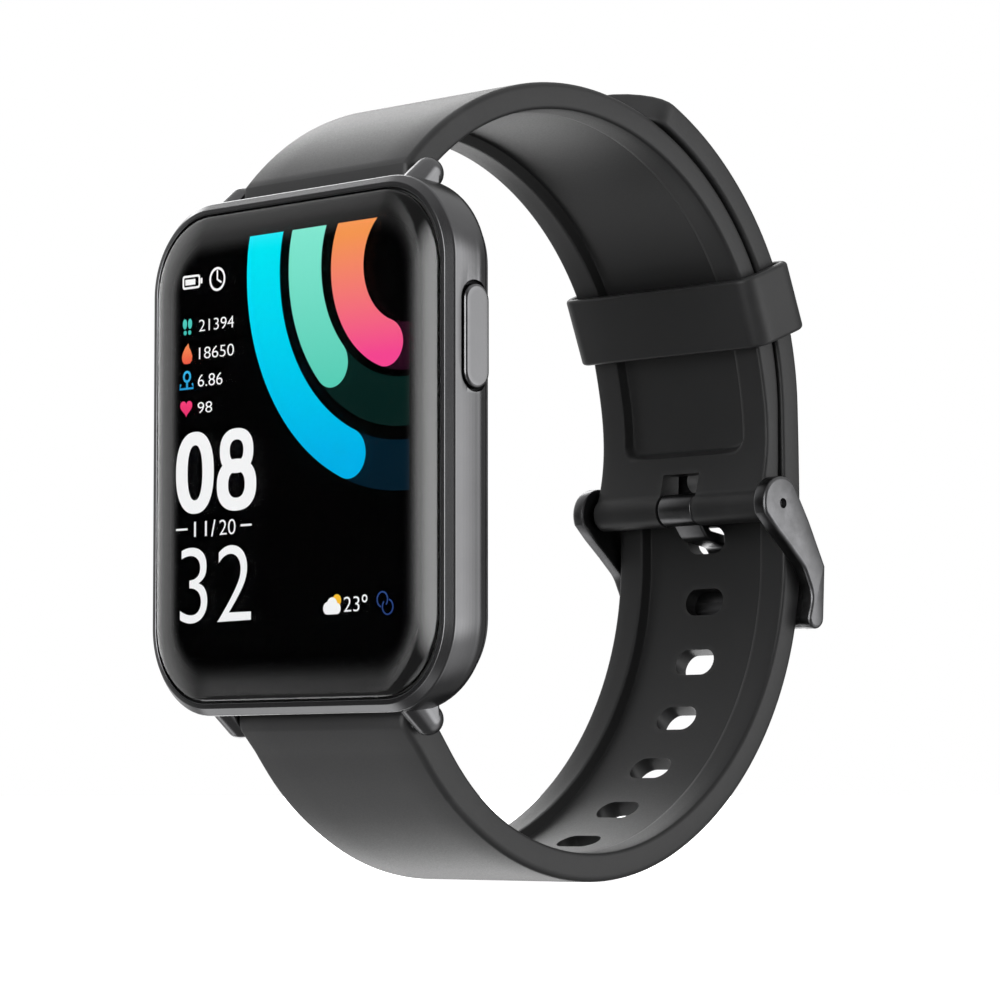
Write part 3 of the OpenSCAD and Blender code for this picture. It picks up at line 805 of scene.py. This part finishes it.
def build_keeper():
    """A band of silicone round both halves, with flat ends."""
    angle, half, wall, gap = 21.3, 3.1, 0.8, 0.15
    r0, r1 = ARC_R - SHORT_T - gap - wall, LAP_R + LONG_T + gap + wall
    across_half = STRAP_HALF + 1.35
    out, along = Vector(unit(angle)), Vector(unit(angle + 90))
    rings = []
    for sign in (-1, 1):
        levels = rim(0.35, 5)[::-1] if sign < 0 else rim(0.35, 5)
        for inset, back in levels:
            w, h = r1 - r0 - 2 * inset, 2 * (across_half - inset)
            outline = [((r0 + r1) / 2 + a, b) for a, b in rounded_rect(w, h, 1.7 - inset, 8, 6)]
            rings.append((sign * (half - back), outline))
    for sign in (1, -1):
        levels = rim(0.2, 3)[::-1] if sign > 0 else rim(0.2, 3)
        for inset, back in levels:
            w, h = r1 - r0 - 2 * wall + 2 * inset, 2 * (STRAP_HALF + 0.35 + inset)
            outline = [((r0 + r1) / 2 + a, b) for a, b in rounded_rect(w, h, 0.4, 8, 6)]
            rings.append((sign * (half - back), outline))
    placed = []
    for v, outline in rings:
        ring = []
        for r, x in outline:
            p = Vector(ARC) + out * math.sqrt(r * r - v * v) + along * v
            ring.append((x, p.x, p.y))
        placed.append(ring)
    piece(loft("keeper_loop", placed, closed=True), "keeper", SILICONE, ["strap_keeper"])


# ---------- buckle ----------
BLADE_T = 0.9                 # thickness of the tongue's blade
BLADE_HALF = 1.6
HOOK_R = 1.45                 # the part of the tongue that is curled round the bar
HOOK_HALF = 2.0


def arm_outline():
    """Side view of one arm: round hub, slim bent leg, round end."""
    y, z = HUB
    hub = [(*p, 0) for p in arc(HUB, 2.4, 48, 204, 40)]
    inner = [(y - 0.75, z - 2.35, 1.2), (y + 1.05, z - 3.85, 3), (y + 2.9, z - 5.5, 3)]
    inner += [(y + 4.1, z - 7.9, 2.5)]
    toe = [(*p, 0) for p in arc((y + 4.5, z - 9.85), 1.0, 178, 356, 18)]
    outer = [(y + 5.72, z - 5.3, 0.35), (y + 3.6, z - 1.35, 6)]
    return rounded(hub + inner + toe + outer, 6)


def build_buckle():
    arm_in = STRAP_HALF + 0.3
    outline = arm_outline()
    right = plate("buckle_arms", outline, arm_in, ARM_OUT, 0.15, 0.35)
    left = plate("left_arm", outline, -ARM_OUT, -arm_in, 0.35, 0.15)
    y, z = HUB
    bar = arc((y + 5.05, z - 5.85), 0.55, -5, 175, 12) + arc((y + 4.5, z - 9.85), 0.95, 175, 355, 14)
    bar = plate("cross_bar", bar, -arm_in - 0.3, arm_in + 0.3)
    combine(right, [left, bar], "UNION")
    combine(right, [spindle("pin_hole", HUB, [(-13, PIN_HOLE), (13, PIN_HOLE)], 24)], "DIFFERENCE")
    piece(right, "buckle", BUCKLE_METAL, ["buckle_frame"])


def build_tongue():
    """A curled hook round the buckle's bar, whose blade lies through a hole onto the frame."""
    y, z = HUB
    bends = [(y + 0.3, z - 0.6, 0), (y + 1.6, z - 2.25, 1.0), (y + 4.8, z - 2.75, 1.5)]
    bends += [(y + 5.65, z - 4.1, 0.8), (y + 6.25, z - 6.2, 0)]
    path = [Vector(p) for p in rounded(bends, 8, closed=False)]
    left, right = both_sides(path, BLADE_T / 2)
    end = round_end(path[-1], path[-2], BLADE_T / 2, 80, 10)
    blade = plate("tongue_hook", left + end + right[::-1], -BLADE_HALF, BLADE_HALF, 0.22, 0.22)
    levels = [(-HOOK_HALF + x, HOOK_R - i) for i, x in reversed(rim(0.2))]
    levels += [(HOOK_HALF - x, HOOK_R - i) for i, x in rim(0.2)]
    combine(blade, [spindle("barrel", HUB, levels)], "UNION")
    combine(blade, [spindle("bore", HUB, [(-5, BAR_BORE), (5, BAR_BORE)], 32)], "DIFFERENCE")
    piece(blade, "tongue", BUCKLE_METAL, ["buckle_tongue"])


# ---------- picture on the screen ----------
PANEL = low("display_panel", "y")
LAYER = 0.012                 # thickness of one printed layer
THINNER = -0.01               # how far the digits' outlines move inwards, on a font of height 1
SHIFT = 0.26                  # the picture sits this far to the right on the panel
TOP_EDGE, RIGHT_EDGE = 17.9, 13.5
DIAL = (13.01, 14.68)         # centre of the three activity rings

WHITE = light("screen_white", rgb(250, 250, 250), rgb(240, 241, 242), 16, -14, 1.1)
CYAN = light("screen_cyan", rgb(0, 240, 255), rgb(0, 183, 240), 17, -1)
MINT = light("screen_mint", rgb(132, 240, 216), rgb(92, 214, 190), 17, 5)
CORAL = light("screen_coral", rgb(255, 156, 84), rgb(255, 72, 150), 17, 7)
CYAN_TRACK = light("screen_cyan_track", rgb(2, 30, 44), rgb(3, 26, 40), 10, -4)
MINT_TRACK = light("screen_mint_track", rgb(6, 34, 30), rgb(5, 30, 27), 8, 0)
CORAL_TRACK = light("screen_coral_track", rgb(38, 10, 26), rgb(32, 7, 23), 10, 5)
TEAL = light("screen_teal", rgb(90, 220, 205), rgb(60, 190, 180), 12, 10)
FLAME = light("screen_flame", rgb(255, 150, 90), rgb(245, 90, 70), 9.7, 8)
AZURE = light("screen_azure", rgb(60, 190, 240), rgb(40, 160, 220), 7.5, 5.9)
ROSE = light("screen_rose", rgb(255, 70, 130), rgb(235, 50, 110), 5, 3.6)
SUN = light("screen_sun", rgb(255, 205, 60), rgb(250, 180, 40), -11.8, -13)
LINK = light("screen_link", rgb(44, 76, 140), rgb(38, 64, 122), -11.8, -13.7)


def on_screen(rings, closed=False):
    """Outlines in the screen's (x, z), each with its layer, as one thin solid."""
    placed = [[(x + SHIFT, PANEL - LAYER * layer, z) for x, z in outline] for outline, layer in rings]
    return loft("mark", placed, closed)


def patch(outline, layer=1):
    return on_screen([(outline, layer - 1), (outline, layer)])


def hoop(outer, inner, layer=1):
    return on_screen([(outer, layer - 1), (outer, layer), (inner, layer), (inner, layer - 1)], closed=True)


def disc(x, z, r, layer=1):
    return patch(arc((x, z), r, 0, 352.5, 47), layer)


def ring(x, z, r, width, layer=1):
    return hoop(arc((x, z), r, 0, 352.5, 47), arc((x, z), r - width, 0, 352.5, 47), layer)


def box_at(x0, z0, x1, z1, r=0.0):
    if r == 0:
        return [(x0, z0), (x1, z0), (x1, z1), (x0, z1)]
    outline = rounded_rect(x1 - x0, z1 - z0, r, 6, 2)
    return [((x0 + x1) / 2 + a, (z0 + z1) / 2 + b) for a, b in outline]


def line(points, width, layer=1):
    """A stroke with round ends."""
    path = [Vector(p) for p in points]
    left, right = both_sides(path, width / 2)
    last = round_end(path[-1], path[-2], width / 2, 75, 6)
    first = round_end(path[0], path[1], width / 2, 75, 6)
    return patch(left + last + right[::-1] + first, layer)


def number(text, x0, z0, x1, z1):
    """Digits of the built-in font, made a little thinner and stretched into a box."""
    curve = bpy.data.curves.new("digits", "FONT")
    curve.body = text
    curve.extrude = 0.5
    curve.offset = THINNER
    obj = bpy.data.objects.new("digits", curve)
    bpy.context.scene.collection.objects.link(obj)
    bpy.context.view_layer.update()
    mesh = bpy.data.meshes.new_from_object(obj.evaluated_get(bpy.context.evaluated_depsgraph_get()))
    bpy.data.objects.remove(obj)
    verts = [tuple(v.co) for v in mesh.vertices]
    faces = [tuple(p.vertices) for p in mesh.polygons]
    u0, u1 = min(v[0] for v in verts), max(v[0] for v in verts)
    v0, v1 = min(v[1] for v in verts), max(v[1] for v in verts)
    placed = []
    for u, v, w in verts:
        x = x0 + (x1 - x0) * (u - u0) / (u1 - u0)
        z = z0 + (z1 - z0) * (v - v0) / (v1 - v0)
        placed.append((x + SHIFT, PANEL - LAYER * (w + 0.5), z))
    bpy.data.meshes.remove(mesh)
    return raw("digits", placed, faces)


def show(name, material, *marks):
    picture = merge(name, marks)
    piece(picture, "watch", material)


def activity_ring(name, centre, r0, r1, end, lit, track):
    """A lit arc with a round end, and the dark track that goes on behind it."""
    def top(r):
        return 180 - math.degrees(math.asin((TOP_EDGE - centre[1]) / r))

    def right(r):
        return 270 + math.degrees(math.asin((RIGHT_EDGE - centre[0]) / r))

    cap = arc(on_circle(centre, (r0 + r1) / 2, end), (r1 - r0) / 2, end, end + 180, 24)
    outline = arc(centre, r1, top(r1), end, 60) + cap[1:-1] + arc(centre, r0, end, top(r0), 60)
    show(f"screen_{name}_arc", lit, patch(outline, 2))
    rest = arc(centre, r1, end - 3, right(r1), 24) + arc(centre, r0, right(r0), end - 3, 24)
    show(f"screen_{name}_track", track, patch(rest, 1))


def drop(x, z, w, h):
    """A flame: round below, drawn to a tip above."""
    half = [(0.12, 1.0), (0.18, 0.82), (0.36, 0.62), (0.5, 0.38), (0.46, 0.16), (0.28, 0.02), (0, 0)]
    side = [(x + a * w, z + b * h) for a, b in half]
    return side + [(x - a * w, z + b * h) for a, b in half[-2:0:-1]]


def egg(x, z, w, h):
    """A closed curve between an ellipse and a rectangle."""
    points = []
    for k in range(56):
        c, s = unit(360 * k / 56)
        points.append((x + w * math.copysign(abs(c) ** 0.86, c), z + h * math.copysign(abs(s) ** 0.86, s)))
    return points


def heart(x, z, size):
    points = []
    for k in range(48):
        a = 2 * math.pi * k / 48
        u = 16 * math.sin(a) ** 3
        v = 13 * math.cos(a) - 5 * math.cos(2 * a) - 2 * math.cos(3 * a) - math.cos(4 * a)
        points.append((x + u * size / 32, z + v * size / 32))
    return points


def build_border():
    """Black print on the underside of the glass, round the display."""
    y0, y1 = GLASS_BACK - 0.05, GLASS_BACK - 0.01
    outer = rounded_rect(GLASS_W - 0.4, GLASS_H - 0.4, GLASS_R - 0.2, 16, 6)
    inner = rounded_rect(GLASS_W - 4.2, GLASS_H - 4.2, GLASS_R - 2.1, 16, 6)
    section = ((outer, y0), (outer, y1), (inner, y1), (inner, y0))
    rings = [[(x, y, z) for x, z in outline] for outline, y in section]
    piece(loft("glass_border", rings, closed=True), "watch", SCREEN_BLACK)


def build_picture():
    activity_ring("cyan", DIAL, 14.65, 18.67, 247.5, CYAN, CYAN_TRACK)
    activity_ring("mint", DIAL, 9.64, 13.55, 223.5, MINT, MINT_TRACK)
    activity_ring("coral", (13.3, 14.3), 4.95, 8.75, 250, CORAL, CORAL_TRACK)
    battery = [hoop(box_at(-13.8, 14.3, -11.6, 15.45, 0.25), box_at(-13.62, 14.48, -11.78, 15.27, 0.12)),
               patch(box_at(-13.45, 14.64, -12.2, 15.11)), patch(box_at(-11.55, 14.65, -11.3, 15.1))]
    clock = [ring(-9.4, 14.83, 1.0, 0.2), line([(-9.4, 15.5), (-9.4, 14.8), (-8.95, 14.55)], 0.17)]
    counts = [number("21394", -11.69, 10.62, -7.3, 11.6), number("18650", -11.68, 8.3, -7.29, 9.28),
              number("6.86", -11.8, 6.0, -8.71, 7.02), number("98", -11.82, 3.78, -10.0, 4.7)]
    hours = [hoop(egg(-12.13, -1.16, 2.38, 3.42), egg(-12.13, -1.16, 0.95, 2.3)),
             hoop(egg(-6.9, 0.38, 2.08, 1.85), egg(-6.9, 0.4, 0.86, 0.9)),
             hoop(egg(-6.9, -2.44, 2.45, 2.14), egg(-6.9, -2.42, 1.04, 1.1))]
    clock_face = [number("32", -13.95, -13.7, -5.05, -7.4), number("11", -12.2, -6.5, -10.6, -5.25),
                  number("20", -9.0, -6.5, -7.0, -5.25), line([(-9.95, -6.5), (-9.6, -5.25)], 0.16)]
    rules = [patch(box_at(-14.47, -5.91, -13.05, -5.74)), patch(box_at(-6.36, -5.91, -5.0, -5.74))]
    degrees = [number("23", 6.13, -13.35, 7.95, -12.15), ring(8.55, -12.35, 0.32, 0.13)]
    cloud = [disc(4.2, -13.0, 0.5), disc(4.75, -12.75, 0.62), disc(5.3, -13.05, 0.45)]
    cloud.append(patch(box_at(4.2, -13.5, 5.3, -12.9)))
    show("screen_numbers", WHITE, *counts, *hours, *clock_face, *degrees)
    show("screen_signs", WHITE, *battery, *clock, *rules, *cloud)
    show("screen_sun", SUN, disc(5.3, -12.4, 0.5, 0.5))
    steps = [patch([(x + a * 0.25, 11.38 + b * 0.42) for a, b in arc((0, 0), 1, 0, 345, 23)])
             for x in (-13.5, -12.85)]
    heels = [disc(-13.46, 10.65, 0.19), disc(-12.89, 10.65, 0.19)]
    show("screen_steps", TEAL, *steps, *heels)
    show("screen_flame", FLAME, patch(drop(-13.2, 8.02, 1.3, 1.7)))
    show("screen_place", AZURE, ring(-13.2, 6.95, 0.5, 0.2), line([(-13.2, 6.4), (-13.2, 6.0)], 0.22),
         line([(-14.0, 6.3), (-14.1, 5.95), (-12.4, 5.95), (-12.5, 6.3)], 0.16))
    show("screen_heart", ROSE, patch(heart(-13.28, 4.35, 1.5)))
    show("screen_link", LINK, line(arc((10.6, -12.5), 0.6, -40, 250, 20), 0.12),
         line(arc((11.2, -13.1), 0.6, 140, 430, 20), 0.12))


# ---------- materials of the pieces that come from the CAD ----------
CAD_MATERIALS = {
    GASKET: ["glass_gasket", "back_gasket", "button_oring"],
    SCREEN_BLACK: ["display_panel"],
    FLEX: ["display_flex"],
    CHASSIS: ["inner_chassis"],
    BOARD: ["main_board", "sensor_board"],
    CHIP: ["processor_chip", "memory_chip", "button_switch"],
    NICKEL: ["radio_module", "vibration_motor", "charging_magnets"],
    FOIL: ["battery"],
    DARK_STEEL: ["back_screws", "button_clip"],
    LED: ["sensor_leds"],
    DIODE: ["photodiodes"],
    GOLD: ["charging_contacts"],
    STEEL: [node for node in frame["nodes"] if node.startswith("bar_")],
}


def finish_cad_nodes():
    for material, nodes in CAD_MATERIALS.items():
        for node in nodes:
            for slot in frame["nodes"][node].material_slots:
                slot.material = material


# ---------- camera, floor and light ----------
def build_camera():
    """Level with the floor, from the button's side."""
    azimuth, elevation, roll, distance = math.radians(45), math.radians(-4.25), math.radians(-0.05), 302.85
    target = Vector((23.76, -24, -5.31))
    back = Vector((math.sin(azimuth) * math.cos(elevation), -math.cos(azimuth) * math.cos(elevation),
                   math.sin(elevation)))
    camera = bpy.data.cameras.new("camera")
    camera.lens = 141.9
    camera.sensor_width = 36
    camera.clip_start = 0.001
    obj = bpy.data.objects.new("camera", camera)
    obj.rotation_mode = "QUATERNION"
    obj.rotation_quaternion = Quaternion(back, roll) @ back.to_track_quat("Z", "Y")
    obj.location = (target + back * distance) * MM
    bpy.context.scene.collection.objects.link(obj)
    bpy.context.scene.camera = obj


def build_floor():
    size = 6.0
    z = cad_bounds[0].z
    mesh = bpy.data.meshes.new("floor")
    corners = [(-size, -size, z), (size, -size, z), (size, size, z), (-size, size, z)]
    mesh.from_pydata(corners, [], [(0, 1, 2, 3)])
    floor = bpy.data.objects.new("floor", mesh)
    floor.visible_diffuse = False
    floor.visible_glossy = False
    floor.visible_transmission = False
    bpy.context.scene.collection.objects.link(floor)
    n = Nodes("pale_floor")
    tone = n.colours(n.noise(60, 3), (0.78, 0.78, 0.78), (0.82, 0.82, 0.82))
    n.set(Base_Color=tone, Roughness=0.8, Emission_Color=(1, 1, 1, 1), Emission_Strength=1.0)
    mesh.materials.append(n.material)


# Soft boxes of the studio: azimuth, elevation, full inside, gone outside, brightness
SOFT_BOXES = [
    (150, 65, 20, 60, 0.6),
    (120, 4, 14, 32, 3.0),
    (8, 5, 12, 34, 6.5),
    (-90, 8, 20, 45, 0.8),
    (-122, 32, 5, 15, 4.2),
    (-100, 45, 15, 45, 0.3),
    (-128, -29, 6, 18, 3.2),
    (-85, -45, 5, 15, 2.0),
    (125, -35, 10, 40, 1.0),
    (-5, -42, 8, 24, 1.6),
]
BLACK_FLAG = (-45, 4, 8, 19)      # what the flat glass mirrors
FRONT_FILL = (-30, 28, 25, 65, 1.9)     # only lights the matt colours
AMBIENT = 0.22


def direction(azimuth, elevation):
    a, e = math.radians(azimuth), math.radians(elevation)
    return math.sin(a) * math.cos(e), -math.cos(a) * math.cos(e), math.sin(e)


def build_light():
    """Soft light from a few large directions, on a white backdrop."""
    world = bpy.data.worlds.new("studio")
    world.use_nodes = True
    bpy.context.scene.world = world
    tree = world.node_tree
    out = tree.nodes["World Output"]

    def add(kind, links, **settings):
        node = tree.nodes.new(kind)
        for key, value in settings.items():
            setattr(node, key, value)
        for socket, value in links.items():
            if isinstance(value, bpy.types.NodeSocket):
                tree.links.new(value, node.inputs[socket])
            else:
                node.inputs[socket].default_value = value
        return node

    place = add("ShaderNodeTexCoord", {}).outputs["Generated"]

    def lobe(azimuth, elevation, inside, outside):
        towards = direction(azimuth, elevation)
        dot = add("ShaderNodeVectorMath", {0: place, 1: towards}, operation="DOT_PRODUCT")
        links = {"Value": dot.outputs["Value"], "From Min": math.cos(math.radians(outside)),
                 "From Max": math.cos(math.radians(inside)), "To Min": 0.0, "To Max": 1.0}
        return add("ShaderNodeMapRange", links, interpolation_type="SMOOTHSTEP").outputs["Result"]

    matt = add("ShaderNodeLightPath", {}).outputs["Is Diffuse Ray"]
    *front, strength = FRONT_FILL
    fill = add("ShaderNodeMath", {0: lobe(*front), 1: strength}, operation="MULTIPLY").outputs[0]
    total = add("ShaderNodeMath", {0: fill, 1: matt, 2: AMBIENT}, operation="MULTIPLY_ADD").outputs[0]
    for azimuth, elevation, inside, outside, strength in SOFT_BOXES:
        part = lobe(azimuth, elevation, inside, outside)
        total = add("ShaderNodeMath", {0: part, 1: strength, 2: total}, operation="MULTIPLY_ADD").outputs[0]
    open_sky = add("ShaderNodeMath", {0: 1.0, 1: lobe(*BLACK_FLAG)}, operation="SUBTRACT").outputs[0]
    seen = add("ShaderNodeMath", {0: total, 1: open_sky}, operation="MULTIPLY").outputs[0]
    lit = add("ShaderNodeBackground", {"Color": (1, 1, 1, 1), "Strength": seen}).outputs[0]
    white = add("ShaderNodeBackground", {"Color": (1, 1, 1, 1), "Strength": 1.0}).outputs[0]
    camera_ray = add("ShaderNodeLightPath", {}).outputs["Is Camera Ray"]
    mixed = add("ShaderNodeMixShader", {0: camera_ray, 1: lit, 2: white}).outputs[0]
    tree.links.new(mixed, out.inputs["Surface"])
    view = bpy.context.scene.view_settings
    view.view_transform = "Standard"
    view.look = "None"
    view.exposure = 0.0
    view.gamma = 1.0


build_camera()
build_case()
build_glass()
build_button()
build_back()
build_sensor_window()
build_short_strap()
build_long_strap()
build_keeper()
build_buckle()
build_tongue()
build_border()
build_picture()
finish_cad_nodes()
build_floor()
build_light()
